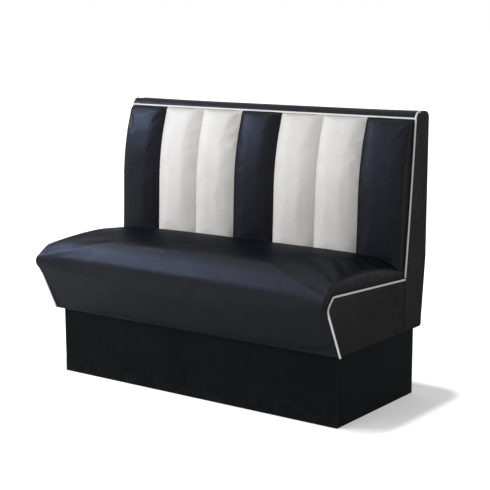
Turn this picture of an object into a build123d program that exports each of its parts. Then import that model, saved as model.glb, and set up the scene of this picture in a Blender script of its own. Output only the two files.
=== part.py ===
from build123d import *
import os

os.makedirs("parts", exist_ok=True)

# A two-seat restaurant booth bench: a boxed plinth, an upholstered seat unit
# bolted to an upholstered back unit, both screwed down on the plinth.
# Lengths are in millimetres. X runs along the bench, Y from front to rear, Z up.
# While the pieces are made, Y = 0 is the front face of the plinth; at the end
# the whole bench is centred over the origin.

# Overall
overall_width = 1200
overall_height = 955

# Boards, vinyl and piping
board = 18
facing_board = 9
rear_board = 4
vinyl = 1.5
side_panel_thickness = 4
piping_radius = 3.5
dust_cloth = 1
overrun = 60

# Plinth, with how far it stands in from the ends and from the foot of the back
plinth_height = 233
plinth_end_setback = 25
plinth_rear_setback = 13
corner_block_side = 45
corner_block_height = 120

# Seat unit, its profile at the two ends, with rises above the unit's underside
joint_y = 373
toe_reach = 20
nose_reach = 97
nose_rise = 163
shoulder_reach = 65
edge_rise = 198
edge_rear_rise = 177
edge_camber = 1
crown_y = 140
end_nose_radius = 20
end_shoulder_radius = 14

# Seat unit, how far its middle swells past the end profile
nose_swell = 26
nose_lift = 29
shoulder_shift = 5
shoulder_lift = 62
crown_lift = 86
rear_lift = 74
mid_nose_radius = 50
mid_shoulder_radius = 110
rim_run = 20
swell_run = 210

# Seat frame and suspension
seat_frame_height = 126
front_padding = 8
rib_drop = 30
rib_bolt_gap = 36
seat_block_side = 40
seat_block_height = 70
webbing_thickness = 2
webbing_width = 50
webbing_rows = 3
webbing_columns = 8
felt_thickness = 4

# Back unit, its profile at the two ends, with depths behind the joint with the seat
back_depth = 138
belly_depth = 26
belly_rise = 431
top_front_depth = 48
head_radius = 22
taper_start_rise = 231
foot_depth = 116
foot_radius = 12
padding = 6
facing_setback = 11
bottom_rail_height = 110
upright_bolt_gap = 44

# Channels of the back, the piping over them and the seam of the rear cover
channel_count = 7
channel_lead = 62
channel_depth = 25
channel_side_gap = 0.5
top_piping_drop = 25
rear_seam_drop = 33
side_piping_tail = 6

# Brackets, bolts and screws
bracket_leg = 32
bracket_width = 20
bracket_thickness = 2
bolt_radius = 4
bolt_head_radius = 6.5
bolt_head_height = 5
bolt_rise = 56
bolt_margin = 115
bolt_count = 4
washer_radius = 12
washer_thickness = 2
nut_radius = 9
nut_height = 9
bolt_tail = 3
screw_radius = 2
screw_head_radius = 4
screw_head_height = 2
screw_bite = 14

# Shares chosen by eye. Swell of the seat over its rim, at places in from its end,
# for its front, its shoulder and its crown. The front is at its fullest there, and the
# other two swell on at even steps from the rim to the straight middle.
rim_place_shares = [0, 0.05, 0.15, 0.35, 0.65, 1]
rim_front_shares = [0.3, 0.7, 0.9, 0.97, 0.99, 1]
rim_shoulder_shares = [0, 0.1, 0.23, 0.35, 0.435, 0.5]
rim_crown_shares = [0, 0.11, 0.26, 0.42, 0.54, 0.62]
shoulder_shares = [0.5, 0.74, 0.865, 0.935, 0.975, 1]
crown_shares = [0.62, 0.84, 0.93, 0.97, 0.99, 1]
# How far a channel's crest leads the side edge, at even steps from the seat to
# the brow, then from the brow to the top piping, and its depth in that last part.
brow_share = 0.84
body_lead_shares = [0.74, 0.8, 0.87, 0.945, 1, 0.965, 0.81]
head_lead_shares = [0.81, 0.73, 0.64, 0.55, 0.45]
head_depth_shares = [1, 0.99, 0.97, 0.93, 0.85]
# Places across half a channel, with how far the channel has dropped there: the end of
# its crest, a place on its round flank and its foot. The outer flanks of the first and
# the last channel are squarer, and a flat side runs back from their foot.
flank_shares = [(0.6, 0.216), (0.82, 0.55), (1, 1)]
outer_flank_shares = [(0.81, 0.1), (0.945, 0.26), (1, 0.62)]

# Places worked out from the sizes
unit_bottom = plinth_height + dust_cloth
frame_bottom = unit_bottom + vinyl
frame_top = unit_bottom + seat_frame_height
nose_height = unit_bottom + nose_rise
edge_height = unit_bottom + edge_rise
edge_rear_height = unit_bottom + edge_rear_rise
inner_half_width = overall_width / 2 - 2 * piping_radius
board_inner_x = inner_half_width - board
piping_x = overall_width / 2 - piping_radius
frame_rear_y = joint_y - vinyl
foam_bottom = frame_top + 2 * webbing_thickness + felt_thickness
back_rear_y = joint_y + back_depth
back_belly_y = joint_y + belly_depth
back_belly_height = unit_bottom + belly_rise
back_top_front_y = joint_y + top_front_depth
back_foot_y = joint_y + foot_depth
taper_start_height = unit_bottom + taper_start_rise
plinth_width = overall_width - 2 * plinth_end_setback
plinth_depth = back_foot_y - plinth_rear_setback
back_top = overall_height - piping_radius
top_piping_height = overall_height - top_piping_drop
rear_seam_height = overall_height - rear_seam_drop
brow_height = back_top - head_radius
channel_width = 2 * inner_half_width / channel_count
channel_top = top_piping_height - piping_radius
head_bottom = top_piping_height + piping_radius
bracket_hole_y = bracket_leg / 2
bolt_height = unit_bottom + bolt_rise
bolt_pitch = 2 * (board_inner_x - bolt_margin) / (bolt_count - 1)
rib_x = bolt_pitch / 2 + rib_bolt_gap
upright_x = bolt_pitch / 2 + upright_bolt_gap


def yz_face(corners):
    """A flat face in the YZ plane through the given (y, z) corners."""
    return Plane.YZ * make_face(Polyline(*corners, close=True))


def along_x(face, half_length):
    """The face in the YZ plane drawn out evenly both ways along X."""
    return extrude(face, half_length, dir=(1, 0, 0), both=True)


def slab(x_low, x_high, y_low, y_high, z_low, z_high):
    """A plain board between six faces."""
    size = (x_high - x_low, y_high - y_low, z_high - z_low)
    middle = ((x_high + x_low) / 2, (y_high + y_low) / 2, (z_high + z_low) / 2)
    return Pos(*middle) * Box(*size)


def mirrored(part):
    """The same piece on the other end of the bench."""
    return mirror(part, about=Plane.YZ)


def corner_block(x_wall, y_wall, x_way, y_way, side, bottom, height):
    """A three-sided glue block in a corner between two boards."""
    corners = [
        (x_wall, y_wall),
        (x_wall + x_way * side, y_wall),
        (x_wall, y_wall + y_way * side),
    ]
    face = Plane.XY.offset(bottom) * make_face(Polyline(*corners, close=True))
    return extrude(face, height, dir=(0, 0, 1))


def rod_along_y(x, z, radius, y_low, y_high):
    """A round rod from one Y to another."""
    middle = Pos(x, (y_low + y_high) / 2, z)
    return middle * Rot(90, 0, 0) * Cylinder(radius, y_high - y_low)


def rod_along_z(x, y, radius, z_low, z_high):
    """A round rod from one height to another."""
    return Pos(x, y, (z_low + z_high) / 2) * Cylinder(radius, z_high - z_low)


def front_face_y(height):
    """Front of the seat's ends at a height: the face leans out from toe to nose."""
    rise_share = (height - unit_bottom) / (nose_height - unit_bottom)
    return -toe_reach - (nose_reach - toe_reach) * rise_share


def nearest_vertex(face, y, z):
    """The corner of a face drawn in (y, z) that lies nearest to a point."""
    return min(face.vertices(), key=lambda vertex: (Vector(vertex) - Vector(y, z)).length)


def seat_section(x, front_share, shoulder_share, crown_share, inset):
    """The seat's outline at one place along X; the shares rise to 1 in the middle."""
    toe = (-toe_reach, unit_bottom)
    heel = (joint_y, unit_bottom)
    nose = (-nose_reach - nose_swell * front_share, nose_height + nose_lift * front_share)
    shoulder = (
        -shoulder_reach + shoulder_shift * shoulder_share,
        edge_height + shoulder_lift * shoulder_share,
    )
    run_share = (crown_y + shoulder_reach) / (joint_y + shoulder_reach)
    edge_at_crown = edge_height + (edge_rear_height - edge_height) * run_share
    crown = (crown_y, edge_at_crown + edge_camber + crown_lift * crown_share)
    rear = (joint_y, edge_rear_height + rear_lift * crown_share)
    outline = [
        Line(toe, nose),
        Line(nose, shoulder),
        ThreePointArc(shoulder, crown, rear),
        Line(rear, heel),
        Line(heel, toe),
    ]
    face = make_face(outline)
    nose_radius = end_nose_radius + (mid_nose_radius - end_nose_radius) * shoulder_share
    shoulder_radius = (
        end_shoulder_radius + (mid_shoulder_radius - end_shoulder_radius) * crown_share
    )
    face = fillet(nearest_vertex(face, *nose), nose_radius)
    face = fillet(nearest_vertex(face, *shoulder), shoulder_radius)
    if inset:
        face = offset(face, -inset)
    return Plane.YZ.offset(x) * face


def seat_form(inset):
    """The swelling seat between its side panels, drawn in all over by the inset."""
    rim = []
    for place_share, front_share, shoulder_share, crown_share in zip(
        rim_place_shares, rim_front_shares, rim_shoulder_shares, rim_crown_shares
    ):
        x = -inner_half_width + rim_run * place_share
        rim.append(seat_section(x, front_share, shoulder_share, crown_share, inset))
    flank = []
    steps = len(crown_shares) - 1
    for step, (shoulder_share, crown_share) in enumerate(zip(shoulder_shares, crown_shares)):
        x = -inner_half_width + rim_run + (swell_run - rim_run) * step / steps
        flank.append(seat_section(x, 1, shoulder_share, crown_share, inset))
    end = loft(rim, ruled=True) + loft(flank)
    middle = along_x(seat_section(0, 1, 1, 1, inset), inner_half_width - swell_run)
    return end + middle + mirrored(end)


def seat_edge_path():
    """Line of the seat's side piping: up the front, round the nose, back along the top."""
    corners = [
        (-toe_reach, unit_bottom),
        (-nose_reach, nose_height),
        (-shoulder_reach, edge_height),
        (joint_y, edge_rear_height),
    ]
    return FilletPolyline(*corners, radius=[end_nose_radius, end_shoulder_radius])


def edge_y(height):
    """Where the front edge of the back's side panel stands at a height."""
    rise = brow_height - edge_rear_height
    run = back_top_front_y - joint_y
    rise_share = (height - edge_rear_height) / rise
    belly_share = (back_belly_height - edge_rear_height) / rise
    bow = back_belly_y - joint_y - run * belly_share
    bow_share = rise_share * (1 - rise_share) / (belly_share * (1 - belly_share))
    return joint_y + run * rise_share + bow * bow_share


def back_face(inset, bottom_inset):
    """Side view of the back unit, with its top, rear and foot drawn in by the insets."""
    bottom = unit_bottom + bottom_inset
    top = back_top - inset
    rear_y = back_rear_y - inset
    foot_y = back_foot_y - inset
    radius = head_radius - inset
    head_y = back_top_front_y + inset
    brow = (back_top_front_y, brow_height)
    outline = [
        Line((joint_y, bottom), (joint_y, edge_rear_height)),
        ThreePointArc((joint_y, edge_rear_height), (back_belly_y, back_belly_height), brow),
        CenterArc((head_y + radius, brow_height), radius, 180, -90),
        Line((head_y + radius, top), (rear_y - radius, top)),
        CenterArc((rear_y - radius, brow_height), radius, 90, -90),
        Line((rear_y, brow_height), (rear_y, taper_start_height)),
        Line((rear_y, taper_start_height), (foot_y, bottom)),
        Line((foot_y, bottom), (joint_y, bottom)),
    ]
    if inset:
        outline.append(Line(brow, (head_y, brow_height)))
    face = make_face(outline)
    if foot_radius > inset:
        face = fillet(nearest_vertex(face, foot_y, bottom), foot_radius - inset)
    return Plane.YZ * face


def band(z_low, z_high, y_low=-overall_height, y_high=overall_height):
    """A rectangle in the YZ plane that picks out a band of heights."""
    return yz_face([(y_low, z_low), (y_low, z_high), (y_high, z_high), (y_high, z_low)])


def facing_y(height):
    """Front of the plywood facing that carries the channels, a flat leaning plane."""
    lean = back_top_front_y - joint_y
    rise_share = (height - edge_rear_height) / (brow_height - edge_rear_height)
    return joint_y + facing_setback + lean * rise_share


def channel_section(index, height, lead_share, depth_share, inset):
    """Outline of one channel in plan at a height: a flat crest between two flanks."""
    half = channel_width / 2 - inset
    x_middle = -inner_half_width + channel_width * (index + 1 / 2)
    lead = channel_lead * lead_share
    depth = channel_depth * depth_share
    crest_y = edge_y(height) - lead + inset
    back_y = facing_y(height)

    def flank(side):
        outermost = index == (0 if side < 0 else channel_count - 1)
        shares = outer_flank_shares if outermost else flank_shares
        reach = half - channel_side_gap if outermost else half
        return [
            (x_middle + side * reach * across_share, crest_y + depth * drop_share)
            for across_share, drop_share in shares
        ]

    left_top, left_bend, left_foot = flank(-1)
    right_top, right_bend, right_foot = flank(1)
    left_back = (left_foot[0], back_y)
    right_back = (right_foot[0], back_y)
    outline = [
        Line(left_back, left_foot),
        ThreePointArc(left_foot, left_bend, left_top),
        ThreePointArc(left_top, (x_middle, crest_y), right_top),
        ThreePointArc(right_top, right_bend, right_foot),
        Line(right_foot, right_back),
        Line(right_back, left_back),
    ]
    return Plane.XY.offset(height) * make_face(outline)


def channel_form(index, inset):
    """One upright channel, from the seat joint up over the brow to the top piping."""
    brow = edge_rear_height + (channel_top - edge_rear_height) * brow_share
    body = []
    body_steps = len(body_lead_shares) - 1
    for step, lead_share in enumerate(body_lead_shares):
        height = edge_rear_height + (brow - edge_rear_height) * step / body_steps
        body.append(channel_section(index, height, lead_share, 1, inset))
    head = []
    head_steps = len(head_lead_shares) - 1
    for step, lead_share in enumerate(head_lead_shares):
        height = brow + (channel_top - brow) * step / head_steps
        head.append(channel_section(index, height, lead_share, head_depth_shares[step], inset))
    return loft(body) + loft(head)


def piping(path):
    """A round piping along a path drawn in the YZ plane, in the middle of its side panel."""
    placed = Plane.YZ.offset(piping_x) * path
    return sweep(Plane(placed @ 0, z_dir=placed % 0) * Circle(piping_radius), path=placed)


def bolt_places():
    """Where the bolts that join the back to the seat stand along X."""
    first = -board_inner_x + bolt_margin
    return [first + bolt_pitch * number for number in range(bolt_count)]


def bracket_places():
    """Where each bracket stands, as its X, the Y of its wall and the way it faces."""
    front = [(side * rib_x, board, 1) for side in (-1, 1)]
    rear_wall = plinth_depth - board
    rear = [(side * upright_x, rear_wall, -1) for side in (-1, 1)]
    return front + rear


def screw_holes():
    """All the screws' shanks together, for cutting their holes in the boards."""
    shanks = Part()
    for x, wall, way in bracket_places():
        shanks += bracket_screw_shanks(x, wall, way)
    return shanks


def bracket_screw_shanks(x, wall, way):
    """Shanks of the two screws of a bracket: one up into the unit, one into the plinth."""
    y = wall + way * bracket_hole_y
    z = plinth_height - bracket_hole_y
    up = rod_along_z(
        x, y, screw_radius, plinth_height - bracket_thickness, frame_bottom + screw_bite
    )
    y_ends = sorted((wall - way * screw_bite, wall + way * bracket_thickness))
    return up + rod_along_y(x, z, screw_radius, *y_ends)


def plinth_parts():
    """The boxed base: four faced panels, a cross rail and four corner blocks."""
    half = plinth_width / 2
    inner_y = (board, plinth_depth - board)
    holes = screw_holes()
    left = slab(-half, -half + board, *inner_y, 0, plinth_height)
    front = slab(-half, half, 0, board, 0, plinth_height)
    rear = slab(-half, half, plinth_depth - board, plinth_depth, 0, plinth_height)
    blocks = Part()
    block_bottom = plinth_height - corner_block_height
    for x_side in (-1, 1):
        x_wall = x_side * (half - board)
        for y_wall, y_way in ((board, 1), (plinth_depth - board, -1)):
            blocks += corner_block(
                x_wall,
                y_wall,
                -x_side,
                y_way,
                corner_block_side,
                block_bottom,
                corner_block_height,
            )
    return {
        "plinth_front_panel": front - holes,
        "plinth_rear_panel": rear - holes,
        "plinth_left_panel": left,
        "plinth_right_panel": mirrored(left),
        "plinth_cross_rail": slab(-board / 2, board / 2, *inner_y, 0, plinth_height),
        "plinth_corner_blocks": blocks,
    }


def bracket_parts():
    """Steel angle brackets inside the plinth, and the screws through them."""
    brackets = Part()
    screws = Part()
    for x, wall, way in bracket_places():
        half = bracket_width / 2
        corners = [
            (wall, plinth_height),
            (wall + way * bracket_leg, plinth_height),
            (wall + way * bracket_leg, plinth_height - bracket_thickness),
            (wall + way * bracket_thickness, plinth_height - bracket_thickness),
            (wall + way * bracket_thickness, plinth_height - bracket_leg),
            (wall, plinth_height - bracket_leg),
        ]
        shanks = bracket_screw_shanks(x, wall, way)
        brackets += Pos(x, 0, 0) * along_x(yz_face(corners), half) - shanks
        leg_low = plinth_height - bracket_thickness
        head_y = wall + way * bracket_thickness
        y_ends = sorted((head_y, head_y + way * screw_head_height))
        up_head = rod_along_z(
            x,
            wall + way * bracket_hole_y,
            screw_head_radius,
            leg_low - screw_head_height,
            leg_low,
        )
        side_head = rod_along_y(
            x, plinth_height - bracket_hole_y, screw_head_radius, *y_ends
        )
        screws += shanks + up_head + side_head
    return {"plinth_brackets": brackets, "bracket_screws": screws}


def seat_frame_parts():
    """Boards of the seat unit, inside the padding."""
    front_low = front_face_y(unit_bottom) + front_padding
    front_high = front_face_y(frame_top) + front_padding
    side_corners = [
        (front_low, unit_bottom),
        (front_high, frame_top),
        (frame_rear_y, frame_top),
        (frame_rear_y, unit_bottom),
    ]
    rail_corners = [
        (front_low, unit_bottom),
        (front_high, frame_top),
        (front_high + board, frame_top),
        (front_low + board, unit_bottom),
    ]
    rib_top = frame_top - rib_drop
    rib_rise_share = (rib_top - unit_bottom) / (frame_top - unit_bottom)
    rail_rear_y = frame_rear_y - board
    rib_corners = [
        (front_low + board, unit_bottom),
        (front_low + board + (front_high - front_low) * rib_rise_share, rib_top),
        (rail_rear_y, rib_top),
        (rail_rear_y, unit_bottom),
    ]
    right = Pos(inner_half_width - board / 2, 0, 0) * along_x(yz_face(side_corners), board / 2)
    right_rib = Pos(rib_x, 0, 0) * along_x(yz_face(rib_corners), board / 2)
    rear_rail = slab(
        -board_inner_x, board_inner_x, rail_rear_y, frame_rear_y, unit_bottom, frame_top
    )
    for x in bolt_places():
        rear_rail -= rod_along_y(x, bolt_height, bolt_radius, rail_rear_y, frame_rear_y)
    blocks = Part()
    for x_side in (-1, 1):
        x_wall = x_side * board_inner_x
        for y_wall, y_way in ((front_low + board, 1), (rail_rear_y, -1)):
            blocks += corner_block(
                x_wall,
                y_wall,
                -x_side,
                y_way,
                seat_block_side,
                unit_bottom,
                seat_block_height,
            )
    right_rib -= screw_holes()
    return {
        "seat_left_board": mirrored(right),
        "seat_right_board": right,
        "seat_front_rail": along_x(yz_face(rail_corners), board_inner_x),
        "seat_rear_rail": rear_rail,
        "seat_left_rib": mirrored(right_rib),
        "seat_right_rib": right_rib,
        "seat_corner_blocks": blocks,
    }


def seat_suspension_parts():
    """Elastic webbing in two layers over the open frame, the felt on it, and the dust cloth."""
    front_y = front_face_y(frame_top) + front_padding
    depth = frame_rear_y - front_y
    first_layer = (frame_top, frame_top + webbing_thickness)
    second_layer = (frame_top + webbing_thickness, frame_top + 2 * webbing_thickness)
    half_strap = webbing_width / 2
    column_pitch = 2 * board_inner_x / webbing_columns
    long_straps = Part()
    for column in range(webbing_columns):
        x = -board_inner_x + column_pitch * (column + 1 / 2)
        long_straps += slab(x - half_strap, x + half_strap, front_y, frame_rear_y, *first_layer)
    cross_straps = Part()
    for row in range(webbing_rows):
        y = front_y + depth * (row + 1 / 2) / webbing_rows
        cross_straps += slab(
            -inner_half_width, inner_half_width, y - half_strap, y + half_strap, *second_layer
        )
    felt = slab(
        -inner_half_width,
        inner_half_width,
        front_y,
        frame_rear_y,
        frame_top + 2 * webbing_thickness,
        foam_bottom,
    )
    cloth = slab(
        -inner_half_width,
        inner_half_width,
        front_face_y(unit_bottom) + front_padding,
        joint_y,
        plinth_height,
        unit_bottom,
    )
    return {
        "seat_webbing_front_to_rear": long_straps,
        "seat_webbing_side_to_side": cross_straps,
        "seat_felt": felt,
        "seat_dust_cloth": cloth - screw_holes(),
    }


def seat_soft_parts(outer):
    """Foam, vinyl cover, side panels and piping of the seat."""
    inner = seat_form(vinyl)
    front_low = front_face_y(unit_bottom) + front_padding
    front_high = front_face_y(frame_top) + front_padding
    lean = (front_high - front_low) / (frame_top - unit_bottom)
    hollow_corners = [
        (front_low - lean * overrun, unit_bottom - overrun),
        (front_high, frame_top),
        (front_high, foam_bottom),
        (frame_rear_y, foam_bottom),
        (frame_rear_y, unit_bottom - overrun),
    ]
    hollow = along_x(yz_face(hollow_corners), overall_width)
    cover = outer - inner - hollow
    for x in bolt_places():
        cover -= rod_along_y(x, bolt_height, bolt_radius, frame_rear_y, joint_y)
    edge = seat_edge_path()
    right_piping = piping(edge)
    heel = (joint_y, unit_bottom)
    outline = [edge, Line(edge @ 1, heel), Line(heel, edge @ 0)]
    side = Plane.YZ.offset(inner_half_width) * make_face(outline)
    panel = extrude(side, side_panel_thickness, dir=(1, 0, 0)) - right_piping
    return {
        "seat_foam": inner - hollow,
        "seat_cover": cover,
        "seat_left_panel": mirrored(panel),
        "seat_right_panel": panel,
        "seat_left_piping": mirrored(right_piping),
        "seat_right_piping": right_piping,
    }


def back_frame_parts():
    """Boards of the back unit: sides, rails, uprights, facing and rear board."""
    rear_skin = vinyl + padding
    to_padding = back_face(rear_skin, vinyl)
    to_board = back_face(rear_skin + rear_board, vinyl)
    top = back_top - rear_skin
    behind_facing = yz_face(
        [
            (joint_y, frame_bottom),
            (joint_y, edge_rear_height),
            (facing_y(edge_rear_height) + facing_board, edge_rear_height),
            (facing_y(top) + facing_board, top),
            (back_rear_y, top),
            (back_rear_y, frame_bottom),
        ]
    )
    inside = (to_board + (to_padding & band(rear_seam_height, back_top))) & behind_facing
    rail_band = band(top - board, top)
    bottom_rail_zone = band(
        frame_bottom, frame_bottom + bottom_rail_height, joint_y, joint_y + board
    )
    bottom_rail = along_x(bottom_rail_zone, board_inner_x)
    for x in bolt_places():
        bottom_rail -= rod_along_y(x, bolt_height, bolt_radius, joint_y, joint_y + board)
    upright = along_x(inside - rail_band - bottom_rail_zone, board / 2)
    right_upright = Pos(upright_x, 0, 0) * upright - screw_holes()
    right = Pos(inner_half_width - board / 2, 0, 0) * along_x(inside, board / 2)
    facing = yz_face(
        [
            (facing_y(edge_rear_height), edge_rear_height),
            (facing_y(channel_top), channel_top),
            (facing_y(channel_top) + facing_board, channel_top),
            (facing_y(edge_rear_height) + facing_board, edge_rear_height),
        ]
    )
    rear_sheet = (to_padding - to_board) & band(unit_bottom, rear_seam_height)
    return {
        "back_left_board": mirrored(right),
        "back_right_board": right,
        "back_left_upright": mirrored(right_upright),
        "back_right_upright": right_upright,
        "back_top_rail": along_x(inside & rail_band, board_inner_x),
        "back_bottom_rail": bottom_rail,
        "back_facing": along_x(facing, inner_half_width),
        "back_rear_board": along_x(rear_sheet, inner_half_width),
    }


def back_soft_parts():
    """Padding, head strip, rear cover, side panels and piping of the back."""
    outside = back_face(0, 0)
    under_vinyl = back_face(vinyl, vinyl)
    under_padding = back_face(vinyl + padding, vinyl)
    vinyl_ring = outside - under_vinyl
    padding_ring = under_vinyl - under_padding
    head_zone = band(rear_seam_height, overall_height) - band(
        rear_seam_height, head_bottom, joint_y, back_top_front_y + head_radius
    )
    rear_zone = band(unit_bottom, rear_seam_height, joint_y)
    rear_padding_zone = band(frame_bottom, rear_seam_height, joint_y + board)
    rear_cover = along_x(vinyl_ring & rear_zone, inner_half_width)
    cloth = slab(
        -inner_half_width,
        inner_half_width,
        joint_y,
        back_foot_y - foot_radius,
        plinth_height,
        unit_bottom,
    )
    side_edge = ThreePointArc(
        (joint_y, edge_rear_height),
        (back_belly_y, back_belly_height),
        (back_top_front_y, brow_height),
    )
    side_path = [
        side_edge.trim(2 * piping_radius / side_edge.length, 1),
        CenterArc((back_top_front_y + head_radius, brow_height), head_radius, 180, -90),
        Line(
            (back_top_front_y + head_radius, back_top),
            (back_top_front_y + head_radius + side_piping_tail, back_top),
        ),
    ]
    right_piping = piping(Wire([edge for curve in side_path for edge in curve.edges()]))
    panel = Pos(inner_half_width, 0, 0) * extrude(
        outside, side_panel_thickness, dir=(1, 0, 0)
    )
    panel -= right_piping
    top_line = rod_along_z(0, 0, piping_radius, -inner_half_width, inner_half_width)
    top_piping = Pos(0, back_top_front_y, top_piping_height) * Rot(0, 90, 0) * top_line
    holes = screw_holes()
    return {
        "back_head_cover": along_x(vinyl_ring & head_zone, inner_half_width),
        "back_head_padding": along_x(padding_ring & head_zone, inner_half_width),
        "back_rear_cover": rear_cover - holes,
        "back_rear_padding": along_x(padding_ring & rear_padding_zone, inner_half_width),
        "back_dust_cloth": cloth - holes,
        "back_left_panel": mirrored(panel),
        "back_right_panel": panel,
        "back_left_piping": mirrored(right_piping),
        "back_right_piping": right_piping,
        "back_top_piping": top_piping,
    }


def channel_parts(seat_outer):
    """Seven stuffed channels, each a foam roll in its own vinyl tube."""
    parts = {}
    for index in range(channel_count):
        roll = channel_form(index, vinyl)
        tube = channel_form(index, 0) - roll
        parts[f"channel_{index + 1}_foam"] = roll - seat_outer
        parts[f"channel_{index + 1}_cover"] = tube - seat_outer
    return parts


def bolt_parts():
    """Bolts through the seat's rear rail and the back's bottom rail."""
    head_rear_y = frame_rear_y - board - washer_thickness
    nut_front_y = joint_y + board
    bolts = Part()
    washers = Part()
    nuts = Part()
    for x in bolt_places():
        shank = rod_along_y(
            x, bolt_height, bolt_radius, head_rear_y, nut_front_y + nut_height + bolt_tail
        )
        head = rod_along_y(
            x, bolt_height, bolt_head_radius, head_rear_y - bolt_head_height, head_rear_y
        )
        washer = rod_along_y(
            x, bolt_height, washer_radius, head_rear_y, head_rear_y + washer_thickness
        )
        nut = rod_along_y(x, bolt_height, nut_radius, nut_front_y, nut_front_y + nut_height)
        bolts += shank + head
        washers += washer - shank
        nuts += nut - shank
    return {"joining_bolts": bolts, "joining_washers": washers, "joining_nuts": nuts}


seat_outer = seat_form(0)
pieces = {}
pieces.update(plinth_parts())
pieces.update(bracket_parts())
pieces.update(seat_frame_parts())
pieces.update(seat_suspension_parts())
pieces.update(seat_soft_parts(seat_outer))
pieces.update(back_frame_parts())
pieces.update(back_soft_parts())
pieces.update(channel_parts(seat_outer))
pieces.update(bolt_parts())

# Centre the bench over the origin, from the seat's nose to the rear cover
front = seat_outer.bounding_box().min.Y
centred = Pos(0, -(front + back_rear_y) / 2, 0)
for name, piece in pieces.items():
    export_step(centred * piece, f"parts/{name}.step")
    print(name, round(piece.volume))
print("pieces", len(pieces), "front", front)
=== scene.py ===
import bpy
import bmesh
import math
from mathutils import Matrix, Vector, noise


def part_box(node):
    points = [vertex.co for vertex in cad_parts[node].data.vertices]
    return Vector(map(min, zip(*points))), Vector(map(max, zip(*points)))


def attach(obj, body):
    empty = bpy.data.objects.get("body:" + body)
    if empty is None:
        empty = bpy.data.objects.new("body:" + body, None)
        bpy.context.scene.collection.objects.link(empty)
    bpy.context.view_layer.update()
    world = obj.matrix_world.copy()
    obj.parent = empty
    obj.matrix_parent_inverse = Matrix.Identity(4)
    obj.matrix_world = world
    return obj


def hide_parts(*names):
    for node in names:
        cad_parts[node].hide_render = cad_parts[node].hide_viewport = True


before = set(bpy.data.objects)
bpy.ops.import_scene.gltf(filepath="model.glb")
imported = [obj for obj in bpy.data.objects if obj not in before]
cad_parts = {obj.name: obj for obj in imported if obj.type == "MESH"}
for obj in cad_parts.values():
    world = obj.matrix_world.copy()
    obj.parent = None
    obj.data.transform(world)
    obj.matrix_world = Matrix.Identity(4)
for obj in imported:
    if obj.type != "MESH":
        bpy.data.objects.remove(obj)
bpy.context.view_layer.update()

# Sizes in metres. Depths (y) run back from the plinth's front face, heights from the floor.
plinth_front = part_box("plinth_front_panel")[0].y
skin_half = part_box("seat_cover")[1].x
joint = 0.373
unit_bottom = 0.234
side_signs = (("left", -1), ("right", 1))

# Seat frame, felt and webbing
frame_half = 0.575
frame_front = -0.0715
frame_rear = joint - 0.0015
frame_top = 0.360
foam_bottom = 0.368
cloth_bottom = 0.2331
cloth_thickness = 0.0007
strap_half_width = 0.025
strap_half_thickness = 0.0009

# Seat outline at its ends, and how far its middle swells past it
toe = (-0.020, unit_bottom)
nose = (-0.097, 0.397)
shoulder = (-0.065, 0.432)
crown = (0.140, 0.4228)
seat_rear = (joint, 0.411)
nose_grow = (-0.026, 0.029)
shoulder_grow = (0.005, 0.062)
crown_grow = (0, 0.086)
rear_grow = (0, 0.069)
end_nose_radius = 0.020
end_shoulder_radius = 0.014
held_front = 6
front_steps = 22
over_piping = 0.009

# Back, its head and its piping
piping_radius = 0.0032
piping_x = skin_half + 0.0035
top_piping_height = 0.930
head_radius = 0.022
top_front = 0.421
back_rear = 0.511
back_foot = 0.489
foot_radius = 0.012
back_top = 0.9515
brow_height = 0.9295
head_front = (top_front + head_radius, brow_height)
head_rear = (back_rear - head_radius, brow_height)
skin_depth = 0.0075
belly = (0.399, 0.665)
taper_start = 0.465
rear_seam = 0.922

# Channels, with how far each seam stands from its even place
channel_top = 0.9265
channel_bottom = 0.411
channel_count = 7
channel_width = 2 * skin_half / channel_count
channel_lead = 0.062
channel_depth = 0.025
channel_columns = 34
facing_setback = 0.011
seam_drift = (0, -0.005, -0.0035, -0.0035, -0.003, -0.0035, -0.004, 0)
vinyl_colours = ("navy", "cream", "cream", "navy", "cream", "cream", "navy")


def at(x, depth, height):
    """A point of the bench from its distance along, its depth behind the plinth's front and its height."""
    return Vector((x, plinth_front + depth, height))


scene = bpy.context.scene
scene.view_settings.view_transform = "Standard"


def placed(name, data):
    """An object in the scene, at the origin."""
    obj = bpy.data.objects.new(name, data)
    scene.collection.objects.link(obj)
    return obj


# Camera
def make_camera():
    """The camera at the photograph's viewing place, in front of the right end."""
    data = bpy.data.cameras.new("booth_camera")
    data.sensor_width = 36
    data.lens = 94.39
    data.shift_x = -0.001
    data.shift_y = 0.0498
    camera = placed("booth_camera", data)
    camera.location = at(2.5883, -3.2417, 1.2715)
    camera.rotation_euler = (math.radians(78.614), math.radians(0.152), math.radians(36.052))
    scene.camera = camera


# Building blocks
def mesh_object(name, vertices, edges, faces):
    mesh = bpy.data.meshes.new(name)
    mesh.from_pydata([tuple(v) for v in vertices], edges, faces)
    return placed(name, mesh)


def piece(name, vertices, faces, sharp_angle=40):
    """A shaded mesh object with its faces turned outwards."""
    obj = mesh_object(name, vertices, [], faces)
    mesh = obj.data
    shape = bmesh.new()
    shape.from_mesh(mesh)
    bmesh.ops.remove_doubles(shape, verts=shape.verts, dist=0.00002)
    bmesh.ops.recalc_face_normals(shape, faces=shape.faces)
    shape.to_mesh(mesh)
    shape.free()
    mesh.shade_smooth()
    mesh.set_sharp_from_angle(angle=math.radians(sharp_angle))
    return obj


def skinned(rings):
    """Vertices and faces of a closed skin over closed rings with equal numbers of points."""
    count = len(rings[0])
    vertices = [point for ring in rings for point in ring]
    faces = []
    for row in range(len(rings) - 1):
        for column in range(count):
            a = row * count + column
            b = row * count + (column + 1) % count
            faces.append((a, b, b + count, a + count))
    faces.append(tuple(reversed(range(count))))
    last = (len(rings) - 1) * count
    faces.append(tuple(range(last, last + count)))
    return vertices, faces


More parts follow.
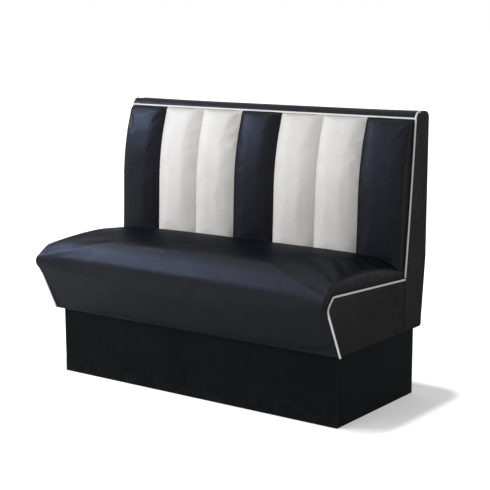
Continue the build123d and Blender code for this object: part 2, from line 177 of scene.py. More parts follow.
def finish_piece(obj, material, slot, *nodes):
    """Gives a piece its material and the solids that it stands for; its slot is not used."""
    obj.data.materials.clear()
    obj.data.materials.append(material)
    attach(obj, "root")
    if nodes:
        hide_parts(*nodes)


def run(start, end, steps):
    """Even points from one (y, z) place towards another, without the last."""
    return [
        (start[0] + (end[0] - start[0]) * i / steps, start[1] + (end[1] - start[1]) * i / steps)
        for i in range(steps)
    ]


def rounded(before, corner, after, radius, steps):
    """Points round a corner between two straight runs, both ends included."""
    corner = Vector(corner)
    a = (Vector(before) - corner).normalized()
    b = (Vector(after) - corner).normalized()
    half = a.angle(b) / 2
    centre = corner + (a + b).normalized() * (radius / math.sin(half))
    start = corner + a * (radius / math.tan(half)) - centre
    end = corner + b * (radius / math.tan(half)) - centre
    points = []
    for i in range(steps + 1):
        share = i / steps
        points.append(tuple(centre + (start * (1 - share) + end * share).normalized() * radius))
    return points


def smooth_table(value, places, values):
    """A smooth curve through a table, flat beyond its ends."""
    if value <= places[0]:
        return values[0]
    if value >= places[-1]:
        return values[-1]
    i = max(k for k in range(len(places) - 1) if places[k] <= value)

    def slope(k):
        low, high = max(k - 1, 0), min(k + 1, len(places) - 1)
        return (values[high] - values[low]) / (places[high] - places[low])

    gap = places[i + 1] - places[i]
    t = (value - places[i]) / gap
    return (
        values[i] * (2 * t**3 - 3 * t**2 + 1)
        + slope(i) * gap * (t**3 - 2 * t**2 + t)
        + values[i + 1] * (3 * t**2 - 2 * t**3)
        + slope(i + 1) * gap * (t**3 - t**2)
    )


def grown(place, growth, share):
    return (place[0] + growth[0] * share, place[1] + growth[1] * share)


# Seat
def swelled_share(inward, tight, tight_reach, wide_reach):
    """How far a line of the seat has swelled in from its end: a tight part at the seam, then a wide one."""
    return 1 - tight * math.exp(-inward / tight_reach) - (1 - tight) * math.exp(-inward / wide_reach)


def front_line(height):
    """Depth of the straight line from the toe to the nose at a height."""
    return toe[0] + (height - toe[1]) * (nose[0] - toe[0]) / (nose[1] - toe[1])


def seat_profile(inward):
    """The seat's outline from its toe over the nose and the crown down to its heel."""
    top = swelled_share(inward, 0.62, 0.004, 0.038)
    nose_now = grown(nose, nose_grow, swelled_share(inward, 0.8, 0.0008, 0.003))
    shoulder_now = grown(shoulder, shoulder_grow, swelled_share(inward, 0.57, 0.003, 0.042))
    y1, z1 = shoulder_now
    y2, z2 = grown(crown, crown_grow, top)
    y3, z3 = grown(seat_rear, rear_grow, swelled_share(inward, 0.42, 0.004, 0.066))
    nose_radius = end_nose_radius + 0.026 * (1 - math.exp(-inward / 0.080))
    bend = ((z3 - z1) / (y3 - y1) - (z2 - z1) / (y2 - y1)) / (y3 - y2)
    tilt = (z2 - z1) / (y2 - y1) - bend * (y2 - y1)

    def top_height(y):
        return z1 + tilt * (y - y1) + bend * (y - y1) ** 2

    nose_arc = rounded(toe, nose_now, shoulder_now, nose_radius, 12)
    ahead = (y1 + 0.1, z1 + tilt * 0.1)
    shoulder_arc = rounded(nose_now, shoulder_now, ahead, end_shoulder_radius + 0.096 * top, 14)
    held = held_front * math.exp(-inward / 0.030)
    points = []
    for i, (y, z) in enumerate(run(toe, nose_arc[0], front_steps)):
        straight = front_line(z)
        points.append((straight + (y - straight) * (i / front_steps) ** held, z))
    points += nose_arc + run(nose_arc[-1], shoulder_arc[0], 6)[1:] + shoulder_arc
    start_y = shoulder_arc[-1][0]
    gap = shoulder_arc[-1][1] - top_height(start_y)
    for i in range(1, 45):
        y = start_y + (joint - 0.001 - start_y) * i / 44
        points.append((y, top_height(y) + gap * (1 - i / 44) ** 2))
    heel = (joint - 0.0004, unit_bottom)
    return points + run(points[-1], heel, 14)[1:] + [heel]


def seat_hollow():
    """The inside of the seat's skin, round the frame and over the felt."""
    front_low = -0.012
    front_high = front_low - 0.077 * (frame_top - unit_bottom) / (nose[1] - unit_bottom)
    inside = run((frame_rear, unit_bottom), (frame_rear, foam_bottom), 6)
    inside += run((frame_rear, foam_bottom), (front_high, foam_bottom), 14)
    return inside + run((front_high, foam_bottom), (front_low, unit_bottom), 6) + [(front_low, unit_bottom)]


def make_seat():
    """The domed seat: vinyl drawn over foam, sewn to the side panels at its ends."""
    inward = [0, 0.001, 0.0025, 0.0045, 0.007, 0.010, 0.0135, 0.0175, 0.022, 0.027]
    while inward[-1] < skin_half - 0.004:
        inward.append(inward[-1] + min(0.0100, 0.005 + 0.06 * (inward[-1] - 0.027)))
    inward[-1] = skin_half
    half_rings = []
    hollow = seat_hollow()
    seam_line = seat_profile(0)
    for d in inward:
        ring = []
        for place, seam in zip(seat_profile(d), seam_line):
            swell = 1 - math.exp(-((math.dist(place, seam) / 0.020) ** 2))
            ring.append((d - over_piping * swell * math.exp(-((d / 0.014) ** 2)), *place))
        half_rings.append(ring + [(d, y, z) for y, z in hollow])
    rings = [[at(d - skin_half, y, z) for d, y, z in ring] for ring in half_rings]
    rings += [[at(skin_half - d, y, z) for d, y, z in ring] for ring in reversed(half_rings[:-1])]
    return piece("seat_cushion", *skinned(rings))


seat_outlines = {}


def seat_top(x, depth):
    """Height of the seat's top at a place, or of the channels' foot behind it."""
    inward = round(max(0, skin_half - abs(x)), 4)
    if depth > joint - 0.0011:
        return channel_bottom
    if inward not in seat_outlines:
        seat_outlines[inward] = seat_profile(inward)
    outline = seat_outlines[inward]
    for (y1, z1), (y2, z2) in zip(outline, outline[1:]):
        if y1 <= depth <= y2 and z1 > nose[1]:
            height = z1 + (z2 - z1) * (depth - y1) / (y2 - y1)
    return height


# Channels of the back
def edge_depth(height):
    """Depth of the back's front edge at a height, a shallow bow bulging forwards."""
    rise = (height - channel_bottom) / (brow_height - channel_bottom)
    belly_rise = (belly[1] - channel_bottom) / (brow_height - channel_bottom)
    bow = belly[0] - joint - (top_front - joint) * belly_rise
    return joint + (top_front - joint) * rise + bow * rise * (1 - rise) / (belly_rise * (1 - belly_rise))


def facing_depth(height):
    rise = (height - channel_bottom) / (brow_height - channel_bottom)
    return joint + facing_setback + (top_front - joint) * rise


channel_brow = channel_bottom + (channel_top - channel_bottom) * 0.84
lead_places = [channel_bottom + (channel_brow - channel_bottom) * i / 6 for i in range(7)]
lead_places += [channel_brow + (channel_top - channel_brow) * i / 4 for i in range(1, 5)]
lead_values = [0.74, 0.80, 0.87, 0.945, 1, 0.965, 0.81, 0.73, 0.64, 0.55, 0.45]
depth_values = [1, 1, 1, 1, 1, 1, 1, 0.99, 0.97, 0.93, 0.85]


def seam_place(index):
    """Where along the back a channel seam runs."""
    return -skin_half + channel_width * index + seam_drift[index]


def channel_point(index, column, height, share):
    """A point of one channel's outline in plan at a height, standing out by a share of its lead."""
    left, right = seam_place(index) + 0.0003, seam_place(index + 1) - 0.0003
    lead = channel_lead * smooth_table(height, lead_places, lead_values) * share
    depth = channel_depth * smooth_table(height, lead_places, depth_values) * share
    crest = edge_depth(height) - lead
    back = facing_depth(height)
    across = math.sin(math.pi * (min(column, channel_columns) / channel_columns - 0.5))
    if column > channel_columns + 7:
        across = -1
    outer = (index == 0 and across < 0) or (index == channel_count - 1 and across > 0)
    drop = depth * abs(across) ** 3.7
    if outer:
        round_share = max(0, abs(across) - 0.81) / 0.19
        drop = depth * (0.12 * across**2 + 0.64 * (1 - math.sqrt(1 - round_share**2)))
    x = (left + right) / 2 + (right - left) / 2 * across
    y = crest + drop
    step = column - channel_columns
    if 0 < step <= 4:
        y += (back - y) * step / 4
    elif 4 < step < 8:
        x, y = right + (left - right) * (step - 4) / 4, back
    elif step >= 8:
        y += (back - y) * (12 - step) / 4
    return x, y


def make_channel(index):
    """A stuffed upright channel, from the seat's top up into the seam under the top piping."""
    rings = []
    rows = 76
    curl = 0.015
    count = channel_columns + 12
    foot = [channel_bottom] * count
    for _ in range(4):
        for column in range(count):
            foot[column] = seat_top(*channel_point(index, column, foot[column], 1)) + 0.0004
    for row in range(rows):
        ring = []
        for column in range(count):
            height = foot[column] + (channel_top - curl - foot[column]) * row / rows
            x, y = channel_point(index, column, height, 1)
            ring.append(at(x, y, height))
        rings.append(ring)
    for step in range(15):
        angle = math.radians(86 * step / 14)
        height = channel_top - curl + curl * math.sin(angle) ** 0.8
        places = [channel_point(index, column, height, math.cos(angle) ** 0.8) for column in range(count)]
        rings.append([at(x, y, height) for x, y in places])
    return piece(f"channel_{index + 1}", *skinned(rings))


# Head, rear and side panels
def strip_along(name, outline, places, sag=0):
    """A closed outline in (y, z) drawn along the bench, its top a little lower between its ends."""
    rings = []
    for x in places:
        dip = sag * (1 - abs(x / skin_half) ** 4)
        rings.append([at(x, y, z - dip * max(0, (z - brow_height) / head_radius)) for y, z in outline])
    return piece(name, *skinned(rings))


def arc(centre, radius, start, end, steps):
    """Points round an arc in (y, z), its angles in degrees from the rear."""
    points = []
    for i in range(steps + 1):
        angle = math.radians(start + (end - start) * i / steps)
        points.append((centre[0] + radius * math.cos(angle), centre[1] + radius * math.sin(angle)))
    return points


def even_places(count):
    return [-skin_half + 2 * skin_half * i / count for i in range(count + 1)]


def make_head():
    """The padded strip that wraps over the top of the back, from the piping to the rear seam."""
    low_front = top_piping_height + piping_radius
    lift = math.degrees(math.asin((low_front - brow_height) / head_radius))
    outer = arc(head_front, head_radius, 180 - lift, 90, 12)
    outer += run(outer[-1], (head_rear[0], back_top), 8)[1:] + arc(head_rear, head_radius, 90, 0, 12)
    outer += [(back_rear, 0.9258), (back_rear, rear_seam)]
    inner = [(back_rear - skin_depth, rear_seam), (back_rear - skin_depth, brow_height)]
    inner += arc(head_rear, head_radius - skin_depth, 0, 90, 5)[1:]
    inner += arc(head_front, head_radius - skin_depth, 90, 180 - lift, 5)
    return strip_along("back_head_roll", outer + inner, even_places(96), 0.0026)


def foot_corner():
    """The rounded corner at the foot of the back."""
    return rounded((back_rear, taper_start), (back_foot, unit_bottom), (joint, unit_bottom), foot_radius, 6)


def bowed_edge(low, steps, corner_steps):
    """The back's front edge from a height up to its brow, and the corner over it."""
    heights = [low + (brow_height - low) * i / steps for i in range(steps)]
    return [(edge_depth(z), z) for z in heights] + arc(head_front, head_radius, 180, 90, corner_steps)


def make_rear():
    """The rear vinyl over its thin padding, down to the rounded foot and under it."""
    top, front, inside = rear_seam - 0.0006, joint + 0.0004, back_rear - skin_depth
    outer = run((back_rear, top), (back_rear, taper_start), 26)
    outer += run((back_rear, taper_start), (back_foot + 0.0013, unit_bottom + 0.013), 14)
    outer += foot_corner()
    outer += run((back_foot - 0.014, unit_bottom), (front, unit_bottom), 6)[1:] + [(front, unit_bottom)]
    inner = [(front, unit_bottom + 0.0014), (0.476, unit_bottom + 0.0014)]
    inner += run((0.482, 0.245), (inside, taper_start), 8)
    inner += run((inside, taper_start), (inside, top), 10) + [(inside, top)]
    return strip_along("back_rear_skin", outer + inner, even_places(96))


def back_outline():
    """Side view of the back unit, from the joint up its bowed front edge and round the head."""
    points = bowed_edge(channel_bottom, 30, 10)
    points += run(points[-1], (head_rear[0], back_top), 4)[1:]
    points += arc(head_rear, head_radius, 90, 0, 10)
    points += run((back_rear, brow_height), (back_rear, taper_start), 20)[1:]
    points += run((back_rear, taper_start), (back_foot, unit_bottom + 0.016), 12)
    points += foot_corner()
    points += run((back_foot - 0.02, unit_bottom), (joint, unit_bottom), 6)[1:]
    points += run((joint, unit_bottom), (joint, channel_bottom), 10)
    return points


def seat_edge(low_steps, corner_steps, top_steps):
    """The seat's seam at its end, from the toe over the nose and the shoulder towards the joint."""
    points = run(toe, nose, low_steps)[:-3]
    points += rounded(toe, nose, shoulder, end_nose_radius, corner_steps)
    points += rounded(nose, shoulder, seat_rear, end_shoulder_radius, corner_steps)
    return points + run(shoulder, seat_rear, top_steps)[2:]


def seat_side_outline():
    """Side view of the seat's end, inside its piping."""
    points = seat_edge(22, 6, 24) + run(seat_rear, (joint, unit_bottom), 10)
    return points + run((joint, unit_bottom), toe, 20)


def inset_outline(points, amounts):
    """A clockwise outline drawn in along its normals, each point by its own amount."""
    moved = []
    for i, ((y, z), amount) in enumerate(zip(points, amounts)):
        before, after = Vector(points[i - 1]), Vector(points[(i + 1) % len(points)])
        along = (after - before).normalized()
        moved.append((y + along[1] * amount, z - along[0] * amount))
    return moved


def make_side_panel(name, outline, welted, side):
    """A vinyl panel over thin padding: it rolls in to the piping and is tighter where none runs."""
    rings = []
    # Each ring's inset beside the piping, its inset where none runs, and how far out it stands
    steps = (
        (0.0030, 0.0004, 0), (0.0030, 0.0004, 0.0016), (0.0036, 0.0008, 0.0030),
        (0.0052, 0.0016, 0.0040), (0.0080, 0.0030, 0.0045), (0.0125, 0.0060, 0.0047),
    )
    for by_welt, plain, lift in steps:
        amounts = [by_welt if i < welted else plain for i in range(len(outline))]
        rings.append([at(side * (skin_half + lift), y, z) for y, z in inset_outline(outline, amounts)])
    return piece(name, *skinned(rings), 60)


# Pipings
def seat_piping_path():
    return seat_edge(24, 8, 30) + [seat_rear]


def back_piping_path():
    points = bowed_edge(channel_bottom + 2 * piping_radius, 40, 12)
    return points + [(head_front[0] + reach, back_top) for reach in (0.003, 0.006)]


# Node trees
NUMBER, VECTOR, WHOLE = "NodeSocketFloat", "NodeSocketVector", "NodeSocketInt"
GEOMETRY, FINISH = "NodeSocketGeometry", "NodeSocketMaterial"


def feed(tree, socket, value):
    """Sets a socket, or links another one to it."""
    if isinstance(value, bpy.types.NodeSocket):
        tree.links.new(value, socket)
    else:
        socket.default_value = value


def node(tree, kind, inputs=None, **settings):
    """A node with its settings, and its inputs set or linked by name or number."""
    made = tree.nodes.new(kind)
    for name, value in settings.items():
        setattr(made, name, value)
    for name, value in (inputs or {}).items():
        feed(tree, made.inputs[name], value)
    return made


def calc(tree, operation, a, b=0.5, clamp=False):
    return node(tree, "ShaderNodeMath", {0: a, 1: b}, operation=operation, use_clamp=clamp).outputs[0]


def times(tree, a, b):
    return calc(tree, "MULTIPLY", a, b)


def plus(tree, a, b):
    return calc(tree, "ADD", a, b)


def new_tree(name, kind, inputs, outputs):
    """A node tree with named inputs and outputs, and the sockets that its inputs give."""
    tree = bpy.data.node_groups.new(name, kind)
    for sockets, in_out in ((inputs, "INPUT"), (outputs, "OUTPUT")):
        for label, socket_type in sockets.items():
            tree.interface.new_socket(name=label, in_out=in_out, socket_type=socket_type)
    return tree, node(tree, "NodeGroupInput").outputs


def geometry_tree(name, sizes):
    """A Geometry Nodes tree with a geometry input, named size inputs and a material input."""
    inputs = {"Geometry": GEOMETRY, **sizes, "Finish": FINISH}
    return new_tree(name, "GeometryNodeTree", inputs, {"Geometry": GEOMETRY})


def round_tube(tree, curve, radius, sides):
    """A closed round tube along a curve."""
    circle = node(tree, "GeometryNodeCurvePrimitiveCircle", {"Radius": radius, "Resolution": sides})
    inputs = {"Curve": curve, "Profile Curve": circle.outputs["Curve"], "Fill Caps": True}
    return node(tree, "GeometryNodeCurveToMesh", inputs).outputs[0]


def close_tree(tree, geometry, finish):
    """Ends a tree in smooth shading, Realize Instances and Set Material."""
    smooth = node(tree, "GeometryNodeSetShadeSmooth", {"Geometry": geometry})
    real = node(tree, "GeometryNodeRealizeInstances", {"Geometry": smooth.outputs[0]})
    done = node(tree, "GeometryNodeSetMaterial", {"Geometry": real.outputs[0], "Material": finish})
    node(tree, "NodeGroupOutput", {"Geometry": done.outputs[0]})
    return tree


def spaced_line(tree, given):
    """The lines of a tree's mesh as a curve, with the spacing to follow it at."""
    line = node(tree, "GeometryNodeMeshToCurve", {"Mesh": given["Geometry"]}).outputs[0]
    return {"Curve": line, "Length": given["Spacing"]}


def piping_tree():
    """A round welt drawn along the lines of its mesh, with its ends closed."""
    tree, given = geometry_tree("welt_along_path", {"Radius": NUMBER, "Spacing": NUMBER, "Sides": WHOLE})
    even = node(tree, "GeometryNodeResampleCurve", spaced_line(tree, given), mode="LENGTH").outputs[0]
    return close_tree(tree, round_tube(tree, even, given["Radius"], given["Sides"]), given["Finish"])


def staple_tree():
    """Small wire staples set at even spacing along the lines of a mesh."""
    sizes = {"Spacing": NUMBER, "Length": NUMBER, "Thickness": NUMBER, "Seed": WHOLE}
    tree, given = geometry_tree("thread_along_path", sizes)
    places = node(tree, "GeometryNodeCurveToPoints", spaced_line(tree, given), mode="LENGTH").outputs
    half = times(tree, given["Length"], 0.5)
    lift = times(tree, given["Thickness"], -0.9)
    bend = {"Resolution": 5}
    for end, reach in (("Start", times(tree, half, -1)), ("End", half)):
        bend[end] = node(tree, "ShaderNodeCombineXYZ", {"Z": reach}).outputs[0]
        bend[f"{end} Handle"] = node(tree, "ShaderNodeCombineXYZ", {"X": lift, "Z": reach}).outputs[0]
    wire_line = node(tree, "GeometryNodeCurvePrimitiveBezierSegment", bend, mode="POSITION").outputs[0]
    varied = {2: 0.88, 3: 1.12, "Seed": given["Seed"]}
    inputs = {
        "Points": places["Points"],
        "Instance": round_tube(tree, wire_line, given["Thickness"], 6),
        "Rotation": places["Rotation"],
        "Scale": node(tree, "FunctionNodeRandomValue", varied, data_type="FLOAT").outputs[1],
    }
    many = node(tree, "GeometryNodeInstanceOnPoints", inputs)
    return close_tree(tree, many.outputs[0], given["Finish"])


def path_object(name, paths):
    """A mesh of open lines for a tree to follow."""
    vertices, edges = [], []
    for path in paths:
        first = len(vertices)
        vertices += path
        edges += [(first + i, first + i + 1) for i in range(len(path) - 1)]
    return mesh_object(name, vertices, edges, [])


def grow(obj, tree, values):
    """Runs a tree on an object and keeps the result as a plain mesh."""
    modifier = obj.modifiers.new("grow", "NODES")
    modifier.node_group = tree
    for item in tree.interface.items_tree:
        if item.in_out == "INPUT" and item.name in values:
            modifier[item.identifier] = values[item.name]
    shown = obj.evaluated_get(bpy.context.evaluated_depsgraph_get())
    plain = bpy.data.meshes.new_from_object(shown)
    obj.modifiers.clear()
    obj.data = plain
    plain.name = obj.name
    return obj


# Shader node groups, which all work on Object coordinates in metres
def shader_tree(name, inputs, outputs):
    """A shader node group: its tree, the place that it is given, and its other input sockets."""
    tree, given = new_tree(name, "ShaderNodeTree", {"Vector": VECTOR, **inputs}, outputs)
    return tree, given["Vector"], given


def close_group(tree, **outputs):
    node(tree, "NodeGroupOutput", outputs)
    return tree


def vector_calc(tree, operation, a, b=(0, 0, 0)):
    return node(tree, "ShaderNodeVectorMath", {0: a, 1: b}, operation=operation).outputs[0]


def parts_of(tree, vector):
    return node(tree, "ShaderNodeSeparateXYZ", {0: vector}).outputs


def stretch(tree, vector, scale):
    """The vector with its parts multiplied by three numbers."""
    return vector_calc(tree, "MULTIPLY", vector, scale)


def fading(tree, distance, rate):
    """1 at no distance, fading at a rate per metre."""
    return calc(tree, "EXPONENT", times(tree, distance, -rate))


def noise_of(tree, vector, scale, detail=2, roughness=0.5):
    inputs = {"Vector": vector, "Scale": scale, "Detail": detail, "Roughness": roughness}
    return node(tree, "ShaderNodeTexNoise", inputs).outputs[0]


def levels(tree, value, low, high, to_low=0, to_high=1):
    """The value eased from one range into another, and held at its ends."""
    inputs = {"Value": value, "From Min": low, "From Max": high, "To Min": to_low, "To Max": to_high}
    return node(tree, "ShaderNodeMapRange", inputs, interpolation_type="SMOOTHSTEP").outputs[0]


def bumped(tree, height, distance, strength=1, before=None):
    inputs = {"Height": height, "Distance": distance, "Strength": strength}
    if before:
        inputs["Normal"] = before
    return node(tree, "ShaderNodeBump", inputs).outputs[0]


def vinyl_grain_group():
    """Fine leather-like grain of pressed vinyl over the soft unevenness of its padding."""
    inputs, outputs = {"Cells": NUMBER, "Depth": NUMBER}, {"Normal": VECTOR, "Pore": NUMBER}
    tree, place, given = shader_tree("vinyl_grain", inputs, outputs)
    warp = node(tree, "ShaderNodeTexNoise", {"Vector": place, "Scale": 420, "Detail": 1})
    shift = stretch(tree, warp.outputs[1], (0.0011, 0.0011, 0.0011))
    bent = vector_calc(tree, "ADD", place, shift)
    cells = node(
        tree, "ShaderNodeTexVoronoi", {"Vector": bent, "Scale": given["Cells"]}, feature="DISTANCE_TO_EDGE"
    )
    raised = levels(tree, cells.outputs[0], 0, 0.22)
    grain = plus(tree, raised, times(tree, noise_of(tree, place, 2600, 1), 0.35))
    soft = bumped(tree, noise_of(tree, place, 16, 2, 0.4), 0.0025)
    normal = bumped(tree, grain, given["Depth"], 1, soft)
    return close_group(tree, Normal=normal, Pore=calc(tree, "SUBTRACT", 1, raised))


def seam_group():
    """Gathers and grime beside a sewn seam, from the distance to the seam in metres."""
    inputs, outputs = {"Seam": NUMBER, "Normal": VECTOR}, {"Normal": VECTOR, "Near": NUMBER}
    tree, place, given = shader_tree("seam_gathers", inputs, outputs)
    folds = noise_of(tree, stretch(tree, place, (0.55, 0.55, 1.25)), 62, 1, 0.4)
    height = times(tree, calc(tree, "SUBTRACT", folds, 0.5), fading(tree, given["Seam"], 75))
    normal = bumped(tree, height, 0.0018, 1, given["Normal"])
    return close_group(tree, Normal=normal, Near=fading(tree, given["Seam"], 240))


def mottle_group():
    """Slow cloudy variation with a little fine variation in it, from 0 to 1."""
    tree, place, given = shader_tree("mottle", {"Scale": NUMBER}, {"Value": NUMBER})
    slow = noise_of(tree, place, given["Scale"], 3, 0.55)
    quick = noise_of(tree, place, times(tree, given["Scale"], 11), 2)
    both = plus(tree, times(tree, slow, 0.75), times(tree, quick, 0.25))
    return close_group(tree, Value=levels(tree, both, 0.33, 0.67))


def rubbed_edge_group():
    """Wear along the edges of a box between two corners: near two of its sides at once."""
    inputs = {"Low": VECTOR, "High": VECTOR, "Width": NUMBER}
    tree, place, given = shader_tree("rubbed_edges", inputs, {"Edge": NUMBER})
    from_low = vector_calc(tree, "SUBTRACT", place, given["Low"])
    from_high = vector_calc(tree, "SUBTRACT", given["High"], place)
    x, y, z = parts_of(tree, vector_calc(tree, "MINIMUM", from_low, from_high))
    nearest, other = calc(tree, "MINIMUM", x, y), calc(tree, "MAXIMUM", x, y)
    second = calc(tree, "MAXIMUM", nearest, calc(tree, "MINIMUM", other, z))
    patchy = times(tree, noise_of(tree, place, 45, 4, 0.7), given["Width"])
    edge = calc(tree, "SUBTRACT", 1, calc(tree, "DIVIDE", second, patchy), True)
    return close_group(tree, Edge=edge)


def scuff_group():
    """Fine scratches at several slants, and dust that settles towards the floor."""
    tree, place, _ = shader_tree("scuffs", {}, {"Scratch": NUMBER, "Dust": NUMBER})
    scratch = 0
    for turn, scale in ((0.5, 10), (-0.9, 14), (1.35, 9)):
        inputs = {"Vector": place, "Angle": turn}
        turned = node(tree, "ShaderNodeVectorRotate", inputs, rotation_type="Y_AXIS").outputs[0]
        streak = noise_of(tree, stretch(tree, turned, (1, 1, 38)), scale, 2, 0.6)
        scratch = calc(tree, "MAXIMUM", scratch, levels(tree, streak, 0.685, 0.72))
    low = fading(tree, parts_of(tree, place)[2], 22)
    patch = levels(tree, noise_of(tree, place, 30, 5, 0.7), 0.38, 0.68)
    return close_group(tree, Scratch=scratch, Dust=times(tree, low, patch))


def board_grain_group():
    """Growth rings and fibres of a sawn board, with the grain along the vector's X."""
    tree, place, _ = shader_tree("board_grain", {}, {"Rings": NUMBER, "Fibre": NUMBER})
    inputs = {"Vector": stretch(tree, place, (0.25, 1, 1)), "Scale": 34, "Distortion": 7, "Detail": 2}
    inputs["Detail Scale"] = 0.8
    rings = node(tree, "ShaderNodeTexWave", inputs, bands_direction="Z", wave_profile="SAW").outputs[1]
    fibre = noise_of(tree, stretch(tree, place, (5, 300, 300)), 3, 3, 0.6)
    return close_group(tree, Rings=rings, Fibre=fibre)


def weave_group():
    """Threads over and under each other at a pitch, in the vector's X and Y."""
    outputs = {"Height": NUMBER, "Across": NUMBER}
    tree, place, given = shader_tree("weave", {"Threads": NUMBER}, outputs)
    x, y, _ = parts_of(tree, place)
    turn = times(tree, given["Threads"], math.pi)
    waves = [calc(tree, "SINE", times(tree, part, turn)) for part in (x, y)]
    both = times(tree, *waves)
    return close_group(tree, Height=calc(tree, "ABSOLUTE", both), Across=levels(tree, both, -0.1, 0.1))


def odd_cells(tree, vector, scale):
    """A tone from 0 to 1 for each cell of a random patchwork."""
    cells = node(tree, "ShaderNodeTexVoronoi", {"Vector": vector, "Scale": scale})
    return parts_of(tree, cells.outputs[1])[0]


def fibre_group():
    """Pressed fibres of a felt or non-woven cloth, some of them of another colour."""
    tree, place, _ = shader_tree("pressed_fibres", {}, {"Tone": NUMBER, "Height": NUMBER})
    flecks = levels(tree, odd_cells(tree, stretch(tree, place, (1, 3.1, 1)), 230), 0.72, 0.9)
    return close_group(tree, Tone=flecks, Height=noise_of(tree, place, 260, 5, 0.75))


def spangle_group():
    """The patchwork of crystals on zinc plate."""
    tree, place, _ = shader_tree("spangle", {}, {"Tone": NUMBER})
    return close_group(tree, Tone=odd_cells(tree, place, 330))


groups = {
    "grain": vinyl_grain_group(),
    "seam": seam_group(),
    "mottle": mottle_group(),
    "edges": rubbed_edge_group(),
    "scuffs": scuff_group(),
    "board": board_grain_group(),
    "weave": weave_group(),
    "fibres": fibre_group(),
    "spangle": spangle_group(),
}


def use(tree, group, place, **inputs):
    """Adds one of the shared groups to a material at a place and gives its outputs."""
    return node(tree, "ShaderNodeGroup", {"Vector": place, **inputs}, node_tree=groups[group]).outputs


def mottled(tree, place, scale):
    return use(tree, "mottle", place, Scale=scale)["Value"]


def mixed(tree, factor, first, second):
    """A colour between two others."""
    made = node(tree, "ShaderNodeMix", {0: factor}, data_type="RGBA")
    for number, value in ((6, first), (7, second)):
        feed(tree, made.inputs[number], (*value, 1) if isinstance(value, tuple) else value)
    return made.outputs[2]


def stained(tree, base, *stains):
    """The base with some of each other colour over it where that colour's mask is high."""
    for colour, mask, amount in stains:
        base = mixed(tree, times(tree, mask, amount), base, colour)
    return base


def started(name):
    """A new material, its tree and the Object coordinates."""
    made = bpy.data.materials.new(name)
    made.use_nodes = True
    return made, made.node_tree, node(made.node_tree, "ShaderNodeTexCoord").outputs["Object"]


def finished(made, base, rough, normal, **others):
    """Feeds the shader of a material, its other sockets named in words, and gives the material."""
    tree = made.node_tree
    shader = tree.nodes["Principled BSDF"]
    for name, value in {"Base Color": base, "Roughness": rough, "Normal": normal, **others}.items():
        feed(tree, shader.inputs[name.replace("_", " ")], value)
    return made


# Materials
def vinyl(name, deep, pale, grime, roughness, shine, cells=900, depth=0.00012):
    """Sewn vinyl: grained, faintly mottled, with gathers and darker grime along its seams."""
    made, tree, place = started(name)
    seam = node(tree, "ShaderNodeAttribute", attribute_name="seam").outputs["Fac"]
    grain = use(tree, "grain", place, Cells=cells, Depth=depth)
    gathers = use(tree, "seam", place, Seam=seam, Normal=grain["Normal"])
    cloudy = mottled(tree, place, 7)
    base = mixed(tree, cloudy, deep, pale)
    base = stained(tree, base, (grime, grain["Pore"], 0.35), (grime, gathers["Near"], 0.3))
    polish = levels(tree, cloudy, 0, 1, roughness - 0.04, roughness + 0.05)
    rough = plus(tree, polish, times(tree, grain["Pore"], 0.12))
    facing = node(tree, "ShaderNodeLayerWeight", {"Blend": 0.5}).outputs["Facing"]
    gloss = levels(tree, facing, 0.26, 0.80, shine, 0.03 * shine)
    return finished(made, base, rough, gathers["Normal"], Specular_IOR_Level=gloss)


def laminate():
    """Dark plinth laminate with a faint straight grain, rubbed edges, scratches and floor dust."""
    made, tree, place = started("plinth_laminate")
    half = -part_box("plinth_left_panel")[0].x
    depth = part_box("plinth_rear_panel")[1].y
    low, high = (-half, plinth_front, -1), (half, depth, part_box("plinth_front_panel")[1].z)
    edge = use(tree, "edges", place, Low=low, High=high, Width=0.005)["Edge"]
    marks = use(tree, "scuffs", place)
    cloudy = mottled(tree, place, 5)
    grain = noise_of(tree, stretch(tree, place, (6, 6, 260)), 4, 3, 0.6)
    base = stained(
        tree,
        mixed(tree, cloudy, (0.0022, 0.0030, 0.0040), (0.0040, 0.0050, 0.0062)),
        ((0.0068, 0.0078, 0.0090), grain, 0.5),
        ((0.030, 0.029, 0.028), edge, 0.3),
        ((0.11, 0.11, 0.11), marks["Scratch"], 0.06),
        ((0.20, 0.18, 0.16), marks["Dust"], 0.05),
    )
    rough = plus(tree, levels(tree, grain, 0.2, 0.8, 0.36, 0.50), times(tree, marks["Dust"], 0.3))
    normal = bumped(tree, calc(tree, "SUBTRACT", grain, marks["Scratch"]), 0.00006)
    return finished(made, base, rough, normal, Specular_IOR_Level=0.035)


def timber(name, turn, deep, pale):
    """Sawn softwood, its grain turned along the board."""
    made, tree, place = started(name)
    turned = {"Vector": place, "Rotation": turn}
    along = node(tree, "ShaderNodeVectorRotate", turned, rotation_type="EULER_XYZ").outputs[0]
    grain = use(tree, "board", along)
    cloudy = mottled(tree, place, 4)
    base = mixed(tree, grain["Rings"], pale, deep)
    base = stained(tree, base, (deep, grain["Fibre"], 0.45), ((0.30, 0.20, 0.12), cloudy, 0.3))
    rough = levels(tree, grain["Rings"], 0, 1, 0.62, 0.80)
    normal = bumped(tree, grain["Fibre"], 0.0003)
    return finished(made, base, rough, normal, Specular_IOR_Level=0.3)


def cloth(name, deep, pale, fleck, bump):
    """Felt or non-woven dust cloth: pressed fibres with a few odd ones."""
    made, tree, place = started(name)
    fibres = use(tree, "fibres", place)
    cloudy = mottled(tree, place, 12)
    base = mixed(tree, times(tree, plus(tree, fibres["Height"], cloudy), 0.5), deep, pale)
    base = stained(tree, base, (fleck, fibres["Tone"], 0.6))
    normal = bumped(tree, fibres["Height"], bump)
    rough = levels(tree, fibres["Height"], 0.2, 0.8, 0.85, 0.97)
    return finished(made, base, rough, normal, Specular_IOR_Level=0.15, Sheen_Weight=0.15)


